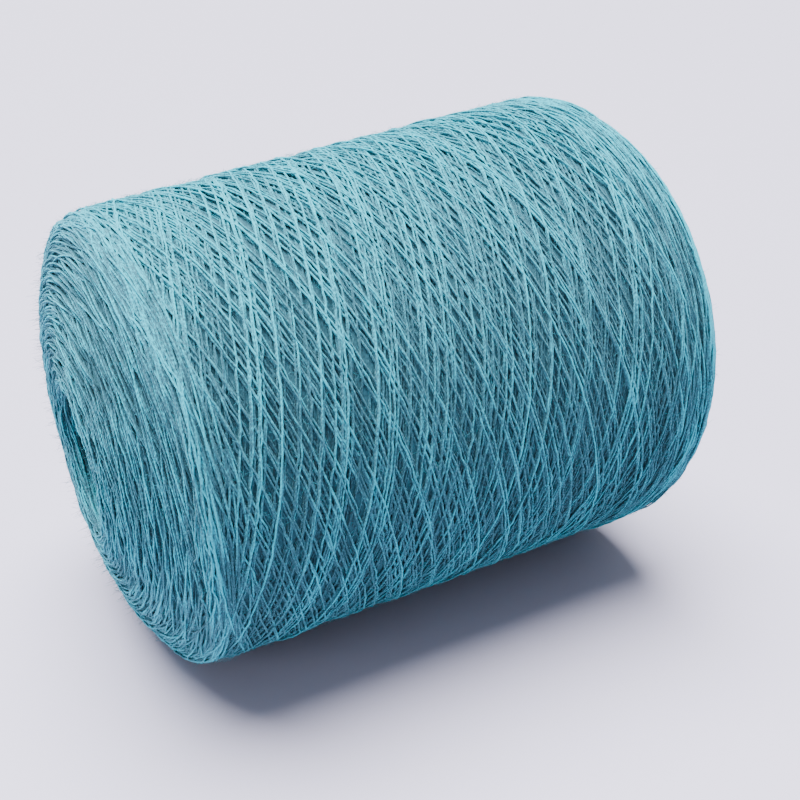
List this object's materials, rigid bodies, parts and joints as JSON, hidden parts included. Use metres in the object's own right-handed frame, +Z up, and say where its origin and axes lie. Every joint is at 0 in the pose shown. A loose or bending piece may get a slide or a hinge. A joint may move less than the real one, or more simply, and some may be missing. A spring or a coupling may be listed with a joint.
{
  "type": "yarn package on a paper cone",
  "caption": "Cone of cross-wound yarn on a hollow paper cone, lying on its side, with bulging end faces and a notch for the yarn tail.",
  "frame": {"origin": "middle of the flat that the package lies on", "axes": "+Z up, +X along the winding axis as seen from above, from the small nose end to the large base end (the axis itself rises 3.5 degrees towards +X), +Y across"},
  "size_m": [0.1825, 0.1456, 0.1447],
  "materials": {
    "yarn": "matte spun yarn",
    "board": "raw grey-brown board",
    "ply": "smooth off-white paper"
  },
  "bodies": {
    "root": {"yarn_package": "yarn", "paper_cone": "board", "cone_top_ply": "ply", "tail_reserve": "yarn"}
  },
  "joints": []
}
